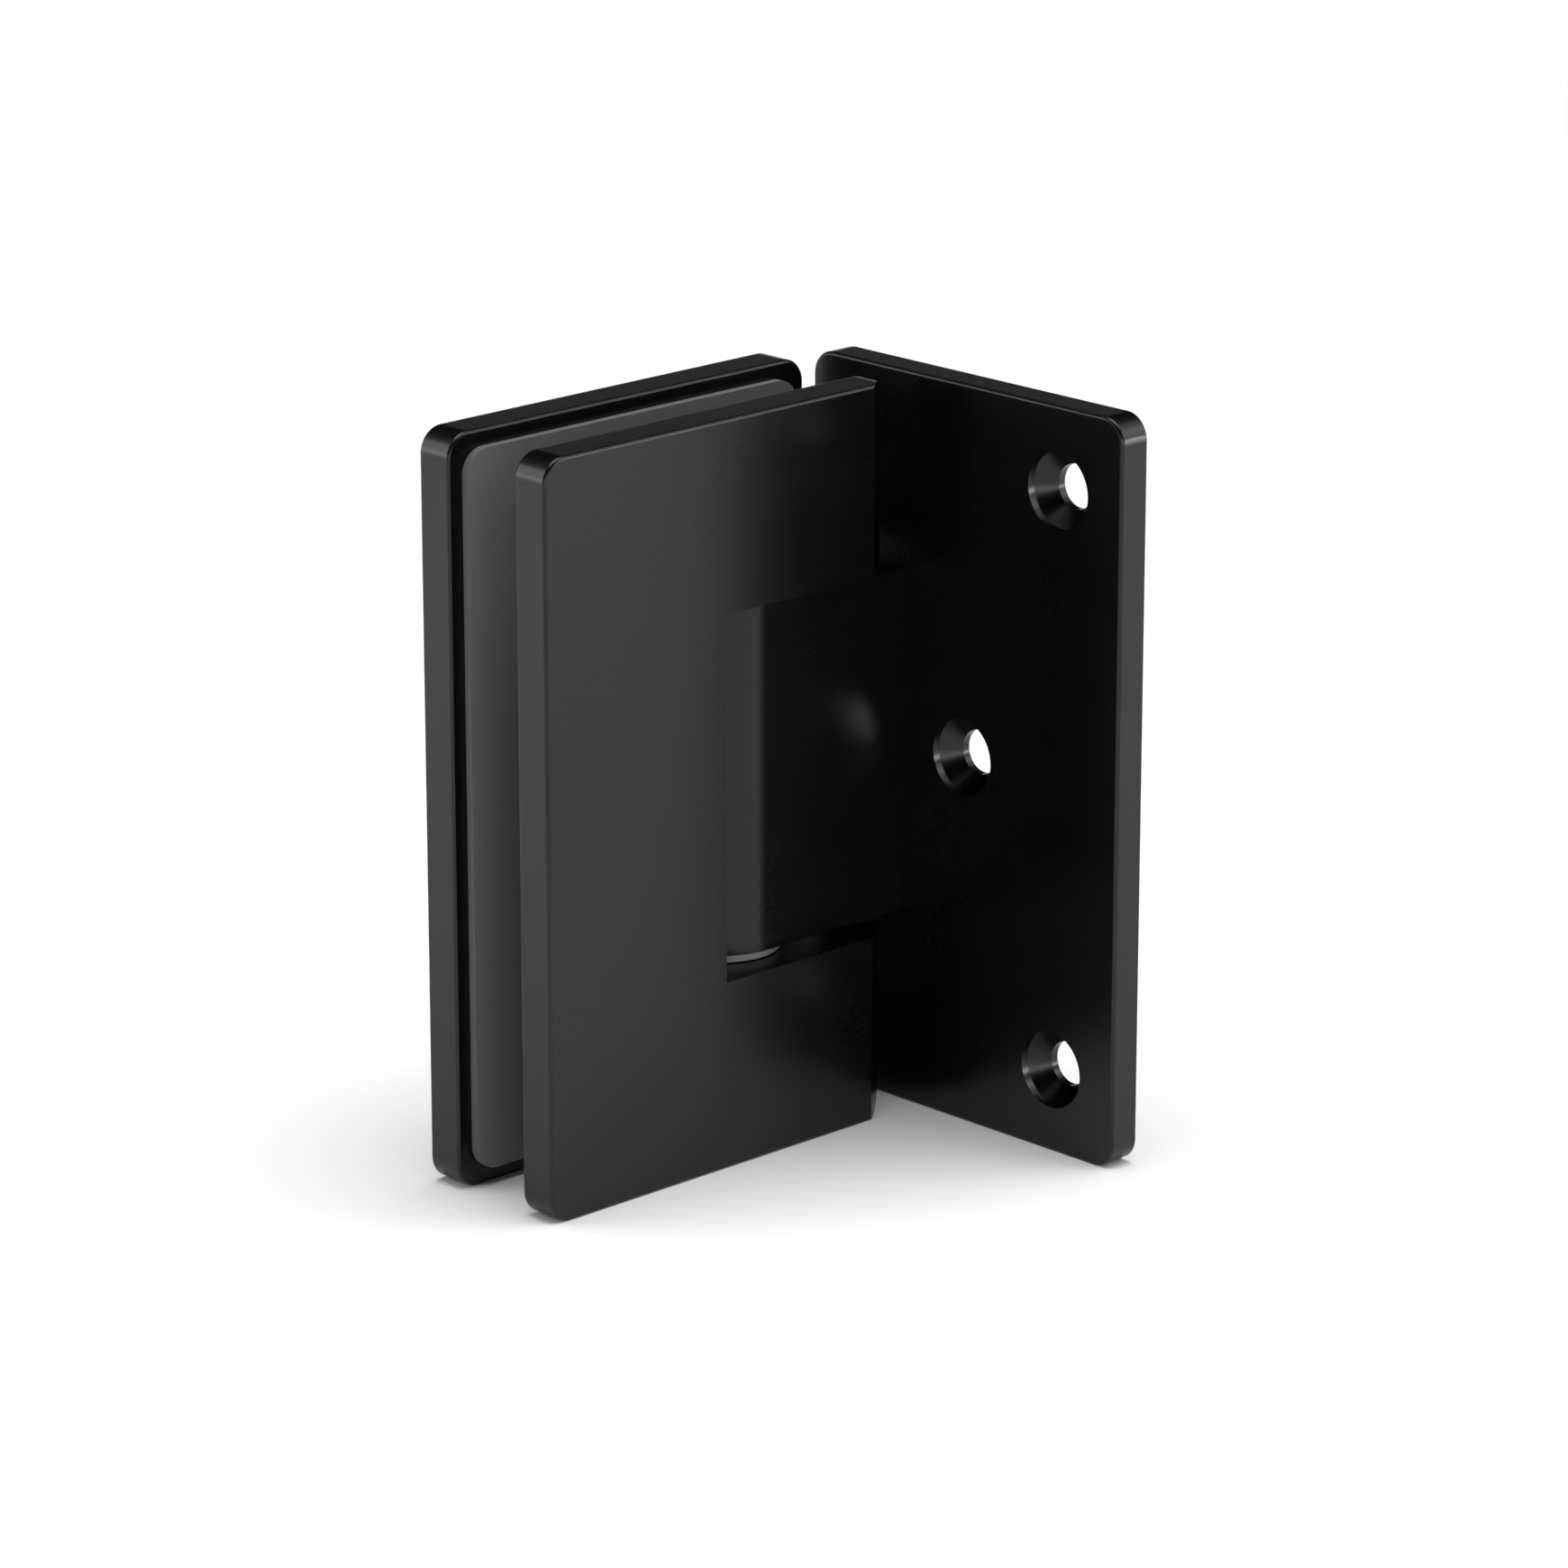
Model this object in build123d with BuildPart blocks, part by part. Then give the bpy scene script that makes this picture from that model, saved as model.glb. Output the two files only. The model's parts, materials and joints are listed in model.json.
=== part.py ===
"""A glass door hinge: a wall plate with a pivot block, and a clamp that holds the glass door leaf.

Millimetres. X runs towards the wall, Z is up, and the room in front of the door is at minus Y.
The origin is the middle of the wall plate's wall-side face. The door leaf lies in the XZ plane.
"""
from build123d import *
import os

# Wall plate
plate_height = 90.0            # the clamp plates are as tall as the wall plate
wall_width = 50.0
wall_thickness = 4.0
corner_radius = 3.0            # corners of all three plates
edge_round = 0.4               # rounded edges of the plates' faces

# Screw holes in the wall plate, countersunk from the room
wall_screw_radius = 2.7
wall_head_radius = 4.7
wall_hole_land = 1.0           # straight wall behind the countersink
wall_hole_inset = 10.0         # the two outer holes, from the front, top and bottom edges

# Door clamp
leaf_width = 55.3
leaf_gap = 3.8                 # from the wall plate to the ends of the clamp plates
clamp_thickness = 5.0
gasket_thickness = 1.0
gasket_inset = 2.0
gasket_radius = 3.0
glass_slot = 9.0               # room for the glass between the gaskets
end_bevel_width = 4.1          # bevel at the front plate's wall-side end, along X
end_bevel_depth = 3.25         # and through the plate's thickness

# Pivot
pin_reach = 22.6               # pin axis, from the wall plate's room face
glass_offset = 17.3            # middle of the glass, from the middle of the wall plate
pin_radius = 4.0
block_width = 15.0
block_height = 42.0
nose_clearance = 1.45          # from the block's round nose to the notch in the clamp plates
washer_radius = 7.0
washer_thickness = 0.95
washer_play = 0.15
bush_radius = 5.0
bush_length = 7.0
running_gap = 0.03             # radial, between the pin and a bush
slip_gap = 0.1                 # radial, between the pin and what it only passes through
fit_gap = 0.02                 # radial, between fixed round pieces

# Detent: sprung plungers press on flats that are cut on the pin
flat_depth = 0.6
flat_length = 24.0
plunger_radius = 4.4
plunger_length = 8.0
plunger_spacing = 13.0
plunger_gap = 0.05             # the plunger clears the pin's round by this much
plunger_slide_gap = 0.08
plunger_chamfer = 0.5
spring_pocket_depth = 5.0
spring_pocket_gap = 0.25
spring_radius = 2.7            # to the middle of the wire
spring_wire = 1.1
spring_turns = 4.5
retainer_radius = 5.0
retainer_length = 5.0
retainer_recess = 0.2
retainer_socket = 5.0

# Countersunk screws, for the block and for the clamp
thread_radius = 2.5
head_radius = 5.0
head_rim = 0.15
head_sink = 0.05
head_clearance = 0.03
screw_clearance = 0.25         # radial, where a screw passes through
thread_gap = 0.05              # radial, where a screw is threaded in
screw_socket = 3.0
screw_socket_depth = 2.0
tip_chamfer = 0.5
drill_run = 1.0                # a blind hole runs this much past its screw
block_screw_length = 16.0
block_screw_height = 16.5      # above and below the middle of the block
clamp_screw_length = 20.0
clamp_screw_reach = 12.0       # to each side of the pin axis
clamp_screw_lift = 8.0         # above the notch's upper edge, or below its lower one
clamp_drill_depth = 4.2

# Pin holders, which fill the cut-out in the glass and grip the ends of the pin
holder_thickness = 9.6
holder_height = 13.0
holder_margin = 5.4            # beyond the clamp screws
holder_corner = 2.0
pin_end_radius = 3.0
pin_end_inset = 1.0
grub_radius = 2.0
grub_length = 6.0
grub_lift = 2.8                # above the notch's upper edge, or below its lower one
grub_flat_depth = 0.5
grub_flat_length = 4.6
grub_socket = 2.0
grub_socket_depth = 2.0
cutout_clearance = 1.6         # from the pin holders to the edge of the gaskets' cut-out

# Places that follow from the sizes
room_x = -wall_thickness
pin_x = room_x - pin_reach
pin_y = glass_offset
leaf_end_x = room_x - leaf_gap
leaf_middle_x = leaf_end_x - leaf_width / 2
clamp_gap = glass_slot + 2 * gasket_thickness
front_inner_y = pin_y - clamp_gap / 2
front_outer_y = front_inner_y - clamp_thickness
rear_inner_y = pin_y + clamp_gap / 2
rear_outer_y = rear_inner_y + clamp_thickness
notch_x = pin_x - block_width / 2 - nose_clearance
notch_half = block_height / 2 + washer_thickness + washer_play
plunger_face_x = pin_x + pin_radius + plunger_gap
plunger_back_x = plunger_face_x + plunger_length
spring_start_x = plunger_back_x - spring_pocket_depth
retainer_front_x = room_x - retainer_recess - retainer_length
holder_half = clamp_screw_reach + holder_margin
pin_half_length = notch_half + holder_height - pin_end_inset
cutout_x = pin_x - holder_half - cutout_clearance
cutout_half = notch_half + holder_height + cutout_clearance
cut_margin = 10.0              # cutting shapes reach this far past the plates' ends

below = (Align.CENTER, Align.CENTER, Align.MAX)
to_room = (-1, 0, 0)
to_wall = (1, 0, 0)
to_front = (0, -1, 0)
to_rear = (0, 1, 0)
sides = {"upper": 1, "lower": -1}

os.makedirs("parts", exist_ok=True)


def save(piece, name):
    """Label a finished piece and write its file."""
    piece.label = name
    export_step(piece, f"parts/{name}.step")


def countersunk_screw(seat, length):
    """A countersunk screw with a hexagon socket, its head just under the seat plane."""
    cone_top = -head_sink - head_rim
    cone_height = head_radius - thread_radius
    with BuildPart(seat) as screw:
        with Locations((0, 0, -head_sink)):
            Cylinder(head_radius, head_rim, align=below)
        with Locations((0, 0, cone_top)):
            Cone(thread_radius, head_radius, cone_height, align=below)
        with Locations((0, 0, cone_top - cone_height)):
            Cylinder(thread_radius, length + cone_top + head_sink - cone_height, align=below)
        tip = screw.faces().sort_by(Axis(seat.origin, seat.z_dir))[0]
        chamfer(tip.edges(), tip_chamfer)
        with BuildSketch(seat.offset(-head_sink)):
            RegularPolygon(screw_socket / 2, 6, major_radius=False)
        extrude(amount=-screw_socket_depth, mode=Mode.SUBTRACT)
    return screw.part


def socket_screw(seat, radius, length, socket, socket_depth):
    """A headless screw with a hexagon socket in its end face, which lies on the seat plane."""
    with BuildPart(seat) as screw:
        Cylinder(radius, length, align=below)
        tip = screw.faces().sort_by(Axis(seat.origin, seat.z_dir))[0]
        chamfer(tip.edges(), tip_chamfer)
        with BuildSketch(seat):
            RegularPolygon(socket / 2, 6, major_radius=False)
        extrude(amount=-socket_depth, mode=Mode.SUBTRACT)
    return screw.part


def ring(start_z, height, outer_radius, inner_radius):
    """A plain ring around the pin axis."""
    with BuildPart() as tube:
        with BuildSketch(Plane.XY.offset(start_z)):
            with Locations((pin_x, pin_y)):
                Circle(outer_radius)
                Circle(inner_radius, mode=Mode.SUBTRACT)
        extrude(amount=height)
    return tube.part


# Wall plate, with three screw holes for the wall and two from behind for the pivot block
wall_head_lip = wall_thickness - wall_hole_land - (wall_head_radius - wall_screw_radius)
outer_hole_y = -wall_width / 2 + wall_hole_inset
outer_hole_z = plate_height / 2 - wall_hole_inset
wall_hole_places = [(outer_hole_y, outer_hole_z), (outer_hole_y, -outer_hole_z), (0, 0)]

with BuildPart() as wall_plate:
    with BuildSketch(Plane.YZ.offset(room_x)):
        RectangleRounded(wall_width, plate_height, corner_radius)
    extrude(amount=wall_thickness)
    fillet(wall_plate.faces().sort_by(Axis.X)[0].edges(), edge_round)
    for hole_y, hole_z in wall_hole_places:
        with Locations(Plane((room_x + wall_head_lip, hole_y, hole_z), z_dir=to_room)):
            CounterSinkHole(wall_screw_radius, wall_head_radius, counter_sink_angle=90)
    for side in sides.values():
        with Locations(Plane((0, pin_y, side * block_screw_height), z_dir=to_wall)):
            CounterSinkHole(
                thread_radius + screw_clearance,
                head_radius + head_rim + head_sink + head_clearance,
                counter_sink_angle=90,
            )
save(wall_plate.part, "wall_plate")

# Pivot block: a round nose around the pin, and bores from its back for the detent and its screws
block_drill_depth = block_screw_length - wall_thickness + drill_run
flat_reach = pin_radius - flat_depth
plunger_bore_radius = plunger_radius + plunger_slide_gap
plunger_bore_depth = pin_reach - flat_reach + drill_run
retainer_bore_depth = retainer_recess + retainer_length

with BuildPart() as pivot_block:
    with BuildSketch(Plane.XY.offset(-block_height / 2)):
        with Locations((pin_x, pin_y)):
            Circle(block_width / 2)
        with Locations((pin_x + pin_reach / 2, pin_y)):
            Rectangle(pin_reach, block_width)
    extrude(amount=block_height)
    for side in sides.values():
        with Locations(Plane((pin_x, pin_y, side * block_height / 2), z_dir=(0, 0, side))):
            CounterBoreHole(
                pin_radius + slip_gap, bush_radius + fit_gap, bush_length, block_height / 2
            )
        with Locations(Plane((room_x, pin_y, side * plunger_spacing / 2), z_dir=to_wall)):
            CounterBoreHole(
                plunger_bore_radius, retainer_radius + thread_gap, retainer_bore_depth, plunger_bore_depth
            )
        with Locations(Plane((room_x, pin_y, side * block_screw_height), z_dir=to_wall)):
            Hole(thread_radius + thread_gap, block_drill_depth)
save(pivot_block.part, "pivot_block")

for name, side in sides.items():
    screw_seat = Plane((0, pin_y, side * block_screw_height), z_dir=to_wall)
    save(countersunk_screw(screw_seat, block_screw_length), f"{name}_block_screw")

# Bushes in the ends of the block, and the washers that lie on them
for name, side in sides.items():
    bush_middle = side * (block_height - bush_length) / 2
    bush = ring(bush_middle - bush_length / 2, bush_length, bush_radius, pin_radius + running_gap)
    save(bush, f"{name}_bush")
    washer_middle = side * (block_height + washer_thickness) / 2
    washer_start = washer_middle - washer_thickness / 2
    washer = ring(washer_start, washer_thickness, washer_radius, pin_radius + slip_gap)
    save(washer, f"{name}_washer")

# Detent: plunger, spring and retaining screw, each in its bore behind the pin
pocket_radius = spring_radius + spring_wire / 2 + spring_pocket_gap
spring_length = retainer_front_x - spring_start_x
coil_rise = spring_length - spring_wire - 2 * fit_gap

for name, side in sides.items():
    bore_z = side * plunger_spacing / 2

    plunger_seat = Plane((plunger_back_x, pin_y, bore_z), z_dir=to_wall)
    with BuildPart(plunger_seat) as plunger:
        Cylinder(plunger_radius, plunger_length, align=below)
        chamfer(plunger.faces().sort_by(Axis.X)[0].edges(), plunger_chamfer)
        Hole(pocket_radius, spring_pocket_depth)
    save(plunger.part, f"{name}_plunger")

    with BuildPart() as spring:
        with BuildLine() as coil:
            Helix(
                pitch=coil_rise / spring_turns,
                height=coil_rise,
                radius=spring_radius,
                center=(spring_start_x + spring_wire / 2 + fit_gap, pin_y, bore_z),
                direction=to_wall,
            )
        with BuildSketch(Plane(coil.line @ 0, z_dir=coil.line % 0)):
            Circle(spring_wire / 2)
        sweep(is_frenet=True)
    save(spring.part, f"{name}_spring")

    retainer_seat = Plane((room_x - retainer_recess, pin_y, bore_z), z_dir=to_wall)
    retainer = socket_screw(
        retainer_seat, retainer_radius, retainer_length, retainer_socket, retainer_length / 2
    )
    save(retainer, f"{name}_spring_retainer")

# Pivot pin: three detent flats in the middle, and thinner ends with a flat for the grub screw
with BuildPart() as pivot_pin:
    for radius, half_length in ((pin_radius, notch_half), (pin_end_radius, pin_half_length)):
        with BuildSketch(Plane.XY.offset(-half_length)):
            with Locations((pin_x, pin_y)):
                Circle(radius)
        extrude(amount=2 * half_length)
    level_faces = pivot_pin.faces().sort_by(Axis.Z)
    chamfer(level_faces[0].edges() + level_faces[-1].edges(), tip_chamfer)
    with BuildSketch(Plane.XY.offset(-flat_length / 2)):
        with Locations((pin_x, pin_y)):
            with PolarLocations(pin_radius + flat_reach, 3, -90, 180, endpoint=True):
                Rectangle(2 * pin_radius, 2 * pin_radius)
    extrude(amount=flat_length, mode=Mode.SUBTRACT)
    for side in sides.values():
        grub_z = side * (notch_half + grub_lift)
        with BuildSketch(Plane.XY.offset(grub_z - grub_flat_length / 2)):
            with Locations((pin_x + 2 * pin_end_radius - grub_flat_depth, pin_y)):
                Rectangle(2 * pin_end_radius, 2 * pin_end_radius)
        extrude(amount=grub_flat_length, mode=Mode.SUBTRACT)
save(pivot_pin.part, "pivot_pin")

# Clamp plates: rounded plates with a notch around the pivot block
notch_middle_x = (notch_x + leaf_end_x + cut_margin) / 2
notch_width = leaf_end_x + cut_margin - notch_x
clamp_screw_places = {
    f"{name}_{place}": (pin_x + reach, side * (notch_half + clamp_screw_lift))
    for name, side in sides.items()
    for place, reach in (("inner", clamp_screw_reach), ("outer", -clamp_screw_reach))
}

with BuildPart() as front_clamp_plate:
    with BuildSketch(Plane((leaf_middle_x, front_inner_y, 0), x_dir=to_wall, z_dir=to_front)):
        RectangleRounded(leaf_width, plate_height, corner_radius)
    extrude(amount=clamp_thickness)
    with BuildSketch(Plane.XY.offset(-plate_height)):
        with BuildLine():
            Polyline(
                (leaf_end_x - end_bevel_width, front_outer_y),
                (leaf_end_x, front_outer_y + end_bevel_depth),
                (leaf_end_x, front_outer_y),
                close=True,
            )
        make_face()
    extrude(amount=2 * plate_height, mode=Mode.SUBTRACT)
    flat_faces = front_clamp_plate.faces().filter_by(Axis.Y)
    fillet(flat_faces.edges(), edge_round)
    with BuildSketch(Plane((notch_middle_x, front_inner_y, 0), x_dir=to_wall, z_dir=to_front)):
        Rectangle(notch_width, 2 * notch_half)
    extrude(amount=clamp_thickness, mode=Mode.SUBTRACT)
    for hole_x, hole_z in clamp_screw_places.values():
        with Locations(Plane((hole_x, front_inner_y, hole_z), z_dir=to_rear)):
            Hole(thread_radius + thread_gap, clamp_drill_depth)
save(front_clamp_plate.part, "front_clamp_plate")

with BuildPart() as rear_clamp_plate:
    with BuildSketch(Plane((leaf_middle_x, rear_inner_y, 0), x_dir=to_wall, z_dir=to_rear)):
        RectangleRounded(leaf_width, plate_height, corner_radius)
    extrude(amount=clamp_thickness)
    flat_faces = rear_clamp_plate.faces().filter_by(Axis.Y)
    fillet(flat_faces.edges(), edge_round)
    with BuildSketch(Plane((notch_middle_x, rear_inner_y, 0), x_dir=to_wall, z_dir=to_rear)):
        Rectangle(notch_width, 2 * notch_half)
    extrude(amount=clamp_thickness, mode=Mode.SUBTRACT)
    for hole_x, hole_z in clamp_screw_places.values():
        with Locations(Plane((hole_x, rear_outer_y, hole_z), z_dir=to_rear)):
            CounterSinkHole(
                thread_radius + screw_clearance,
                head_radius + head_rim + head_sink + head_clearance,
                counter_sink_angle=90,
            )
save(rear_clamp_plate.part, "rear_clamp_plate")

for place, (screw_x, screw_z) in clamp_screw_places.items():
    screw_seat = Plane((screw_x, rear_outer_y, screw_z), z_dir=to_rear)
    save(countersunk_screw(screw_seat, clamp_screw_length), f"{place}_clamp_screw")

# Gaskets: inset sheets with a cut-out like the one in the glass, open towards the wall
gasket_width = leaf_width - 2 * gasket_inset
cutout_width = leaf_end_x + cut_margin - cutout_x
cutout_middle_x = cutout_x + cutout_width / 2

for name, face_y, inward in (("front", front_inner_y, to_rear), ("rear", rear_inner_y, to_front)):
    with BuildPart() as gasket:
        with BuildSketch(Plane((leaf_middle_x, face_y, 0), x_dir=to_wall, z_dir=inward)):
            RectangleRounded(gasket_width, plate_height - 2 * gasket_inset, gasket_radius)
            with Locations((cutout_middle_x - leaf_middle_x, 0)):
                Rectangle(cutout_width, 2 * cutout_half, mode=Mode.SUBTRACT)
        extrude(amount=gasket_thickness)
    save(gasket.part, f"{name}_gasket")

# Pin holders, seated on the front plate, and the grub screws that grip the pin
grub_seat_x = pin_x + pin_end_radius - grub_flat_depth + fit_gap + grub_length

for name, side in sides.items():
    holder_middle = side * (notch_half + holder_height / 2)
    grub_z = side * (notch_half + grub_lift)

    with BuildPart() as pin_holder:
        with BuildSketch(Plane((pin_x, front_inner_y, holder_middle), x_dir=to_wall, z_dir=to_rear)):
            RectangleRounded(2 * holder_half, holder_height, holder_corner)
        extrude(amount=holder_thickness)
        with Locations(Plane((pin_x, pin_y, side * (notch_half + holder_height)), z_dir=(0, 0, side))):
            Hole(pin_end_radius + fit_gap)
        for reach in (-clamp_screw_reach, clamp_screw_reach):
            screw_place = (pin_x + reach, front_inner_y, side * (notch_half + clamp_screw_lift))
            with Locations(Plane(screw_place, z_dir=to_front)):
                Hole(thread_radius + screw_clearance)
        with Locations(Plane((pin_x + holder_half, pin_y, grub_z), z_dir=to_wall)):
            Hole(grub_radius + thread_gap, holder_half)
    save(pin_holder.part, f"{name}_pin_holder")

    grub_seat = Plane((grub_seat_x, pin_y, grub_z), z_dir=to_wall)
    grub_screw = socket_screw(grub_seat, grub_radius, grub_length, grub_socket, grub_socket_depth)
    save(grub_screw, f"{name}_grub_screw")
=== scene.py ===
"""The looks of the glass door hinge: its finishes, the threads of its screws, and a plain pale studio.

Lengths are in metres, and lamps are placed by their heading and elevation in degrees.
"""

import json
import math

import bpy
from mathutils import Matrix, Vector


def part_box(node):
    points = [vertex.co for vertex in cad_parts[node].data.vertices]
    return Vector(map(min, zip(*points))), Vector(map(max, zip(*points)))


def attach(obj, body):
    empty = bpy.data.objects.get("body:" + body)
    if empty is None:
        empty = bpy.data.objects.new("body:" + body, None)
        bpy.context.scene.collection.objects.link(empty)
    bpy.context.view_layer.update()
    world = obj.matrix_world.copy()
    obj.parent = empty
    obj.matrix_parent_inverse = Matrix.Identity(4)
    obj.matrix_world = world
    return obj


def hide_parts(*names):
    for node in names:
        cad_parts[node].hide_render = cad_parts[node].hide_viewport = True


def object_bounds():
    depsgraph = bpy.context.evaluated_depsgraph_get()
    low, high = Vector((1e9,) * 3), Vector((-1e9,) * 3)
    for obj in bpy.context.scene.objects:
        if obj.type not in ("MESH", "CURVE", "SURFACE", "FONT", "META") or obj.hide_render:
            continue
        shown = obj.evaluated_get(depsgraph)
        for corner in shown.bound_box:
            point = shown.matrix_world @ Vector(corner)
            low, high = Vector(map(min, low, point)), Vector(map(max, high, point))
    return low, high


def deselect():
    bpy.ops.object.select_all(action="DESELECT")


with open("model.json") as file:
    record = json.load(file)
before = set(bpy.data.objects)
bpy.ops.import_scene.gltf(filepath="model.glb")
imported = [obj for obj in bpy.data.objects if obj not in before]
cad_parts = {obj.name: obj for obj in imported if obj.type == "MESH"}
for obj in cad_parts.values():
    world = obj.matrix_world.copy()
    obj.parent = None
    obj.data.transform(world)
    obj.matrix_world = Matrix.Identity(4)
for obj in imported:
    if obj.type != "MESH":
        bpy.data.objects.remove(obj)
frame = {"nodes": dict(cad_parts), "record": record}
cad_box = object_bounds()
deselect()
scene = bpy.context.scene
low, high = (Vector(corner) for corner in cad_box)
middle = (low + high) / 2


# Shader maths: a Flow is a value that changes over a surface

# The colour sockets of a Mix node share their names, so they go by number.
mix_amount = 0
mix_first = 6
mix_second = 7
mix_result = 2


class Flow:
    """A socket of a node, with operators that add the Math nodes for an expression."""

    def __init__(self, wiring, socket):
        self.wiring = wiring
        self.socket = socket

    def maths(self, operation, other):
        made = self.wiring.node("ShaderNodeMath", {"operation": operation}, {0: self, 1: other})
        return Flow(self.wiring, made.outputs[0])

    def __add__(self, other):
        return self.maths("ADD", other)

    def __mul__(self, other):
        return self.maths("MULTIPLY", other)

    def or_else(self, other):
        """The larger of two values, so 1 where either mask is 1."""
        return self.maths("MAXIMUM", other)

    __radd__ = __add__
    __rmul__ = __mul__


class Wiring:
    """A node tree, with one method that adds any node."""

    def __init__(self, tree):
        self.nodes = tree.nodes
        self.links = tree.links

    def node(self, kind, settings=None, inputs=None):
        """Add a node, set what it is, then set or link the sockets of its values."""
        made = self.nodes.new(kind)
        for key, value in (settings or {}).items():
            setattr(made, key, value)
        for key, value in (inputs or {}).items():
            self.feed(made.inputs[key], value)
        return made

    def feed(self, socket, value):
        if isinstance(value, Flow):
            self.links.new(value.socket, socket)
        elif isinstance(value, bpy.types.NodeSocket):
            self.links.new(value, socket)
        else:
            socket.default_value = value

    def ramp(self, value, start, end):
        """0 at the start and 1 at the end of a range of the value."""
        inputs = {"Value": value, "From Min": start, "From Max": end}
        return Flow(self, self.node("ShaderNodeMapRange", None, inputs).outputs["Result"])

    def in_view(self):
        """1 for what the camera, a mirror or glass sees, and 0 for light that falls on a surface."""
        path = self.node("ShaderNodeLightPath")
        camera, mirror, glass = (
            Flow(self, path.outputs[kind])
            for kind in ("Is Camera Ray", "Is Glossy Ray", "Is Transmission Ray")
        )
        return camera.or_else(mirror.or_else(glass))

    def blend(self, amount, first, second):
        """The shader of the first node, which turns into the second's as the amount goes to 1."""
        inputs = {0: amount, 1: first.outputs[0], 2: second.outputs[0]}
        return self.node("ShaderNodeMixShader", None, inputs).outputs[0]


class Paint(Wiring):
    """A procedural material around one Principled shader."""

    def __init__(self, name):
        self.material = bpy.data.materials.new(name)
        self.material.use_nodes = True
        super().__init__(self.material.node_tree)
        self.shader = self.nodes["Principled BSDF"]
        self.place = self.node("ShaderNodeTexCoord").outputs["Object"]

    def noise(self, per_metre, detail=2.0, stretch=(1.0, 1.0, 1.0)):
        """Soft noise from 0 to 1 with so many features in a metre, along a stretched grain."""
        grain = self.node("ShaderNodeMapping", None, {"Vector": self.place, "Scale": stretch})
        inputs = {"Vector": grain.outputs["Vector"], "Scale": per_metre, "Detail": detail}
        return Flow(self, self.node("ShaderNodeTexNoise", None, inputs).outputs["Fac"])

    def mix(self, amount, first, second):
        """A colour that goes from the first to the second as the amount goes from 0 to 1."""
        inputs = {mix_amount: amount, mix_first: (*first, 1.0), mix_second: (*second, 1.0)}
        return self.node("ShaderNodeMix", {"data_type": "RGBA"}, inputs).outputs[mix_result]

    def bump(self, height, distance):
        """Relief of a height that goes from 0 to 1 over the given distance."""
        made = self.node("ShaderNodeBump", None, {"Height": height, "Distance": distance})
        self.feed(self.shader.inputs["Normal"], made.outputs["Normal"])

    def finish(self, **values):
        """Set the shader's sockets, which are named with underscores for spaces."""
        for key, value in values.items():
            self.feed(self.shader.inputs[key.replace("_", " ")], value)
        return self.material


# Finishes


def black_coat():
    """Satin black coat: smooth, with a very fine grain and slight cloudiness in its gloss."""
    paint = Paint("satin_black_coat")
    clouds = paint.noise(90.0, 3.0)
    grain = paint.noise(4200.0, 1.0)
    paint.bump(grain, 0.000002)
    return paint.finish(
        Base_Color=paint.mix(clouds, (0.0006, 0.0006, 0.0007), (0.0012, 0.0012, 0.0014)),
        Roughness=0.235 + clouds * 0.04 + grain * 0.02,
        IOR=1.41,
    )


def bright_steel():
    """Turned stainless steel, with fine rings of the lathe around the pin's axis."""
    paint = Paint("turned_steel")
    turning = paint.noise(350.0, 2.0, (0.2, 0.2, 12.0))
    return paint.finish(
        Base_Color=paint.mix(turning, (0.5, 0.49, 0.47), (0.66, 0.65, 0.63)),
        Roughness=0.2 + turning * 0.12,
        Metallic=1.0,
    )


def dark_steel():
    """Blackened steel of the screws, a little uneven."""
    paint = Paint("dark_screw_steel")
    clouds = paint.noise(600.0, 3.0)
    return paint.finish(
        Base_Color=paint.mix(clouds, (0.05, 0.05, 0.052), (0.1, 0.1, 0.104)),
        Roughness=0.3 + clouds * 0.12,
        Metallic=1.0,
    )


def bearing_bronze():
    """Sintered bronze of the bushes, with small pores."""
    paint = Paint("bearing_bronze")
    pores = paint.noise(3000.0, 2.0)
    paint.bump(pores, 0.00002)
    return paint.finish(
        Base_Color=paint.mix(pores, (0.24, 0.13, 0.045), (0.5, 0.31, 0.13)),
        Roughness=0.35 + pores * 0.15,
        Metallic=1.0,
    )


def gasket_grey():
    """Grey gasket sheet with a fine mottled face."""
    paint = Paint("grey_gasket")
    mottle = paint.noise(1500.0, 3.0)
    paint.bump(mottle, 0.00001)
    return paint.finish(
        Base_Color=paint.mix(mottle, (0.126, 0.128, 0.128), (0.160, 0.163, 0.163)),
        Roughness=0.55 + mottle * 0.1,
        IOR=1.5,
    )


def washer_grey():
    """Pale grey plastic of the washers."""
    paint = Paint("pale_washer")
    mottle = paint.noise(1200.0, 2.0)
    return paint.finish(
        Base_Color=paint.mix(mottle, (0.34, 0.34, 0.335), (0.41, 0.41, 0.405)),
        Roughness=0.3 + mottle * 0.08,
        IOR=1.5,
    )


finishes = {
    "black_coat": black_coat(),
    "steel": bright_steel(),
    "screw_steel": dark_steel(),
    "bronze": bearing_bronze(),
    "gasket": gasket_grey(),
    "washer_plastic": washer_grey(),
}
for entry in frame["record"]["subparts"]:
    node = frame["nodes"][entry["node"]]
    for slot in node.material_slots:
        slot.material = finishes[entry["material_slot"]]


# Screw threads, cut into copies of the plain solids

# The groove's share of the pitch, and how far its cutter stands out past the screw.
groove_share = 0.8
groove_overrun = 0.00007
steps_per_turn = 36

# A screw with no head is cut past both of its ends.
extra_turns = 2

weld = 0.000001
smooth_up_to = math.radians(35)

# The axis of a screw, and how a cutter along Z is turned to lie along it.
along_x = 0
along_y = 1
turned_to = {along_x: (0, math.radians(90), 0), along_y: (math.radians(-90), 0, 0)}

m4 = {"radius": 0.0020, "pitch": 0.0007}
m5 = {"radius": 0.0025, "pitch": 0.0008}
m10_fine = {"radius": 0.0050, "pitch": 0.0010}
countersunk_head = 0.0029


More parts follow.
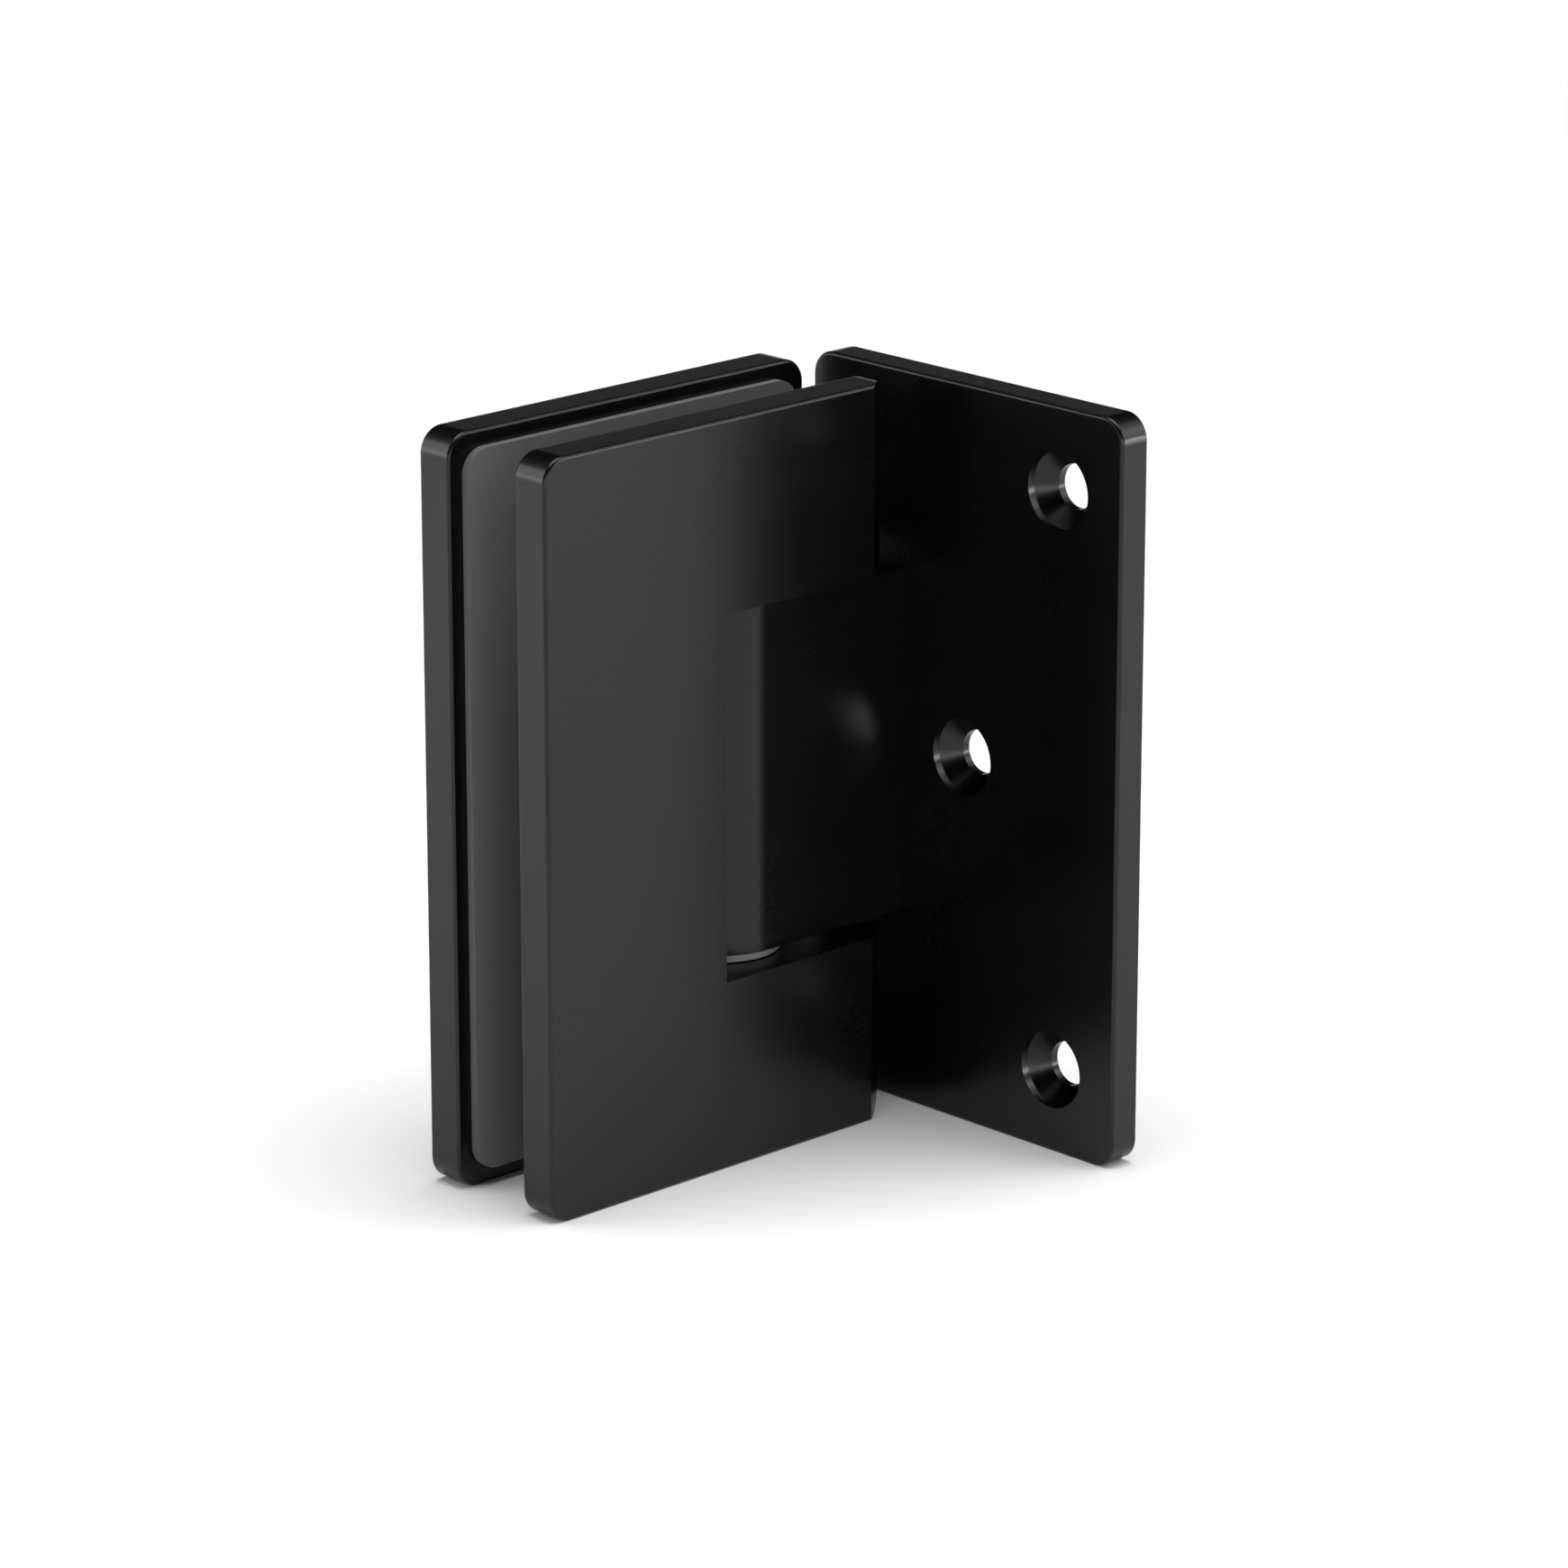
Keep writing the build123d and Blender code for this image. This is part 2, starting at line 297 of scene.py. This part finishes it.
def make_active(piece):
    deselect()
    piece.select_set(True)
    bpy.context.view_layer.objects.active = piece


def thread_groove(radius, pitch, turns):
    """The cutter of a V thread: a triangle wound up the Z axis, from one pitch below zero."""
    section = groove_share * pitch / math.sqrt(3)
    bpy.ops.mesh.primitive_circle_add(
        vertices=3,
        radius=section,
        location=(radius + groove_overrun - section / 2, 0, -pitch),
        rotation=(math.radians(90), math.radians(-90), 0),
    )
    groove = bpy.context.active_object
    bpy.ops.object.transform_apply(location=True, rotation=True, scale=True)
    winding = groove.modifiers.new("winding", "SCREW")
    winding.axis = "Z"
    winding.screw_offset = pitch
    winding.iterations = turns
    winding.steps = steps_per_turn
    winding.render_steps = steps_per_turn
    bpy.ops.object.modifier_apply(modifier="winding")
    bpy.ops.object.mode_set(mode="EDIT")
    bpy.ops.mesh.select_all(action="SELECT")
    bpy.ops.mesh.remove_doubles(threshold=weld)
    bpy.ops.mesh.fill_holes(sides=3)
    bpy.ops.mesh.select_all(action="SELECT")
    bpy.ops.mesh.normals_make_consistent(inside=False)
    bpy.ops.object.mode_set(mode="OBJECT")
    return groove


def threaded_copy(node, along, radius, pitch, head):
    """A copy of a screw with its thread cut: all along it, or up to a plain neck below its head."""
    tip, end = (Vector(corner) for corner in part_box(node))
    length = end[along] - tip[along]
    start = (tip + end) / 2
    start[along] = tip[along]
    piece = bpy.data.objects.new(f"threaded_{node}", frame["nodes"][node].data.copy())
    scene.collection.objects.link(piece)
    turns = math.floor((length - head) / pitch) if head else math.ceil(length / pitch) + extra_turns
    groove = thread_groove(radius, pitch, turns)
    groove.rotation_euler = turned_to[along]
    groove.location = start
    bpy.ops.object.transform_apply(location=True, rotation=True, scale=True)
    make_active(piece)
    bpy.ops.mesh.customdata_custom_splitnormals_clear()
    bpy.ops.object.mode_set(mode="EDIT")
    bpy.ops.mesh.select_all(action="SELECT")
    bpy.ops.mesh.remove_doubles(threshold=weld)
    bpy.ops.object.mode_set(mode="OBJECT")
    cut = piece.modifiers.new("thread", "BOOLEAN")
    cut.operation = "DIFFERENCE"
    cut.solver = "EXACT"
    cut.object = groove
    bpy.ops.object.modifier_apply(modifier="thread")
    bpy.ops.object.shade_smooth_by_angle(angle=smooth_up_to)
    bpy.data.objects.remove(groove)
    deselect()
    return piece


def thread_screws(nodes, body, along, radius, pitch, head=0.0):
    """Thread one screw, and copy it to the places of its fellows."""
    first = threaded_copy(nodes[0], along, radius, pitch, head)
    home = Vector(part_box(nodes[0])[0])
    for node in nodes:
        piece = first
        if node != nodes[0]:
            piece = bpy.data.objects.new(f"threaded_{node}", first.data.copy())
            scene.collection.objects.link(piece)
            piece.data.transform(Matrix.Translation(Vector(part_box(node)[0]) - home))
        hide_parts(node)
        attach(piece, body)


sides = ("upper", "lower")
clamp_screws = [f"{side}_{place}_clamp_screw" for side in sides for place in ("inner", "outer")]
block_screws = [f"{side}_block_screw" for side in sides]
grub_screws = [f"{side}_grub_screw" for side in sides]
retainers = [f"{side}_spring_retainer" for side in sides]
thread_screws(clamp_screws, "leaf", along_y, **m5, head=countersunk_head)
thread_screws(block_screws, "wall_side", along_x, **m5, head=countersunk_head)
thread_screws(grub_screws, "leaf", along_x, **m4)
thread_screws(retainers, "wall_side", along_x, **m10_fine)


# Studio

# The photograph's camera: its picture and lens, where it stood, and how it was turned.
photo_width_px = 1740
focal_length_px = 7262
sensor_width = 36.0
camera_place = (-0.52898, -0.51417, 0.22272)
camera_azimuth = -43.971
camera_elevation = 17.102

# How far from the hinge the floor begins to turn into plain white, and where it is white.
white_floor_from = 0.35
white_floor_to = 0.72

# The share of its height at which the white band over the horizon begins to fade.
horizon_fade = 0.85

white = (1.0, 1.0, 1.0, 1.0)


def floor_material():
    """Near-white floor. Far from the hinge, where the lamps grow weak, it is seen as plain white."""
    paint = Paint("pale_floor")
    mottle = paint.noise(3.0, 2.0)
    paint.finish(
        Base_Color=paint.mix(mottle, (0.97, 0.97, 0.97), (0.98, 0.98, 0.98)),
        Roughness=0.9,
        Specular_IOR_Level=0.0,
    )
    from_hinge = paint.node("ShaderNodeVectorMath", {"operation": "LENGTH"}, {0: paint.place})
    far = paint.ramp(from_hinge.outputs["Value"], white_floor_from, white_floor_to)
    glow = paint.node("ShaderNodeEmission", None, {"Color": white})
    blend = paint.blend(far * paint.in_view(), paint.shader, glow)
    paint.feed(paint.nodes["Material Output"].inputs["Surface"], blend)
    return paint.material


def lay_floor(level, width):
    bpy.ops.mesh.primitive_plane_add(size=width, location=(0, 0, level))
    bpy.ops.object.transform_apply(location=True, rotation=True, scale=True)
    floor = bpy.context.active_object
    floor.name = "floor"
    floor.data.materials.append(floor_material())
    deselect()


def surround(dimness, pale_up_to):
    """A dim even room, which is white near the horizon for the camera, mirrors and glass."""
    world = bpy.data.worlds.new("studio")
    world.use_nodes = True
    scene.world = world
    air = Wiring(world.node_tree)
    place = air.node("ShaderNodeTexCoord").outputs["Generated"]
    height = air.node("ShaderNodeSeparateXYZ", None, {0: place}).outputs["Z"]
    edge = math.sin(math.radians(pale_up_to))
    near_horizon = air.ramp(height, edge, horizon_fade * edge)
    room = air.nodes["Background"]
    air.feed(room.inputs["Color"], (dimness, dimness, dimness, 1))
    pale = air.node("ShaderNodeBackground", None, {"Color": white})
    blend = air.blend(near_horizon * air.in_view(), room, pale)
    air.feed(air.nodes["World Output"].inputs["Surface"], blend)


def softbox(name, heading, elevation, distance, size, brightness):
    """A rectangular lamp that looks at the hinge; its brightness is that of its glowing face."""
    turn = math.radians(heading)
    lift = math.radians(elevation)
    aim = Vector((math.cos(turn) * math.cos(lift), math.sin(turn) * math.cos(lift), math.sin(lift)))
    lamp = bpy.data.lights.new(name, "AREA")
    lamp.shape = "RECTANGLE"
    lamp.size, lamp.size_y = size
    lamp.energy = brightness * math.pi * lamp.size * lamp.size_y
    holder = bpy.data.objects.new(name, lamp)
    holder.location = middle + aim * distance
    holder.rotation_euler = aim.to_track_quat("Z", "Y").to_euler()
    scene.collection.objects.link(holder)


def set_camera():
    camera = bpy.data.cameras.new("camera")
    camera.sensor_width = sensor_width
    camera.lens = sensor_width * focal_length_px / photo_width_px
    camera.clip_start = 0.01
    camera.clip_end = 20.0
    holder = bpy.data.objects.new("camera", camera)
    holder.location = camera_place
    holder.rotation_euler = (math.radians(90 - camera_elevation), 0, math.radians(camera_azimuth))
    scene.collection.objects.link(holder)
    scene.camera = holder


set_camera()
lay_floor(level=low.z, width=8.0)
surround(dimness=0.01, pale_up_to=6.8)

# Broad light from above and both sides
softbox("overhead", heading=45, elevation=89, distance=3.2, size=(2.5, 2.5), brightness=4.65)
softbox("left_sky", heading=135, elevation=52, distance=4.0, size=(3.5, 3.5), brightness=0.35)
softbox("right_sky", heading=315, elevation=52, distance=4.0, size=(3.5, 3.5), brightness=1.45)

# Close panels and low strips, which show in the satin of the upright faces
softbox("left_panel", heading=134, elevation=20, distance=0.40, size=(0.22, 0.22), brightness=2.7)
softbox("left_strip", heading=134, elevation=3, distance=0.9, size=(0.35, 0.10), brightness=2.0)
softbox("right_panel", heading=314, elevation=26, distance=0.40, size=(0.22, 0.13), brightness=2.7)
softbox("right_strip", heading=314, elevation=3, distance=0.9, size=(0.35, 0.10), brightness=14.5)
softbox("front_strip", heading=250, elevation=8, distance=0.9, size=(0.3, 0.2), brightness=5.0)
softbox("low_front", heading=225, elevation=3, distance=0.9, size=(0.3, 0.2), brightness=3.5)

scene.view_settings.view_transform = "Standard"
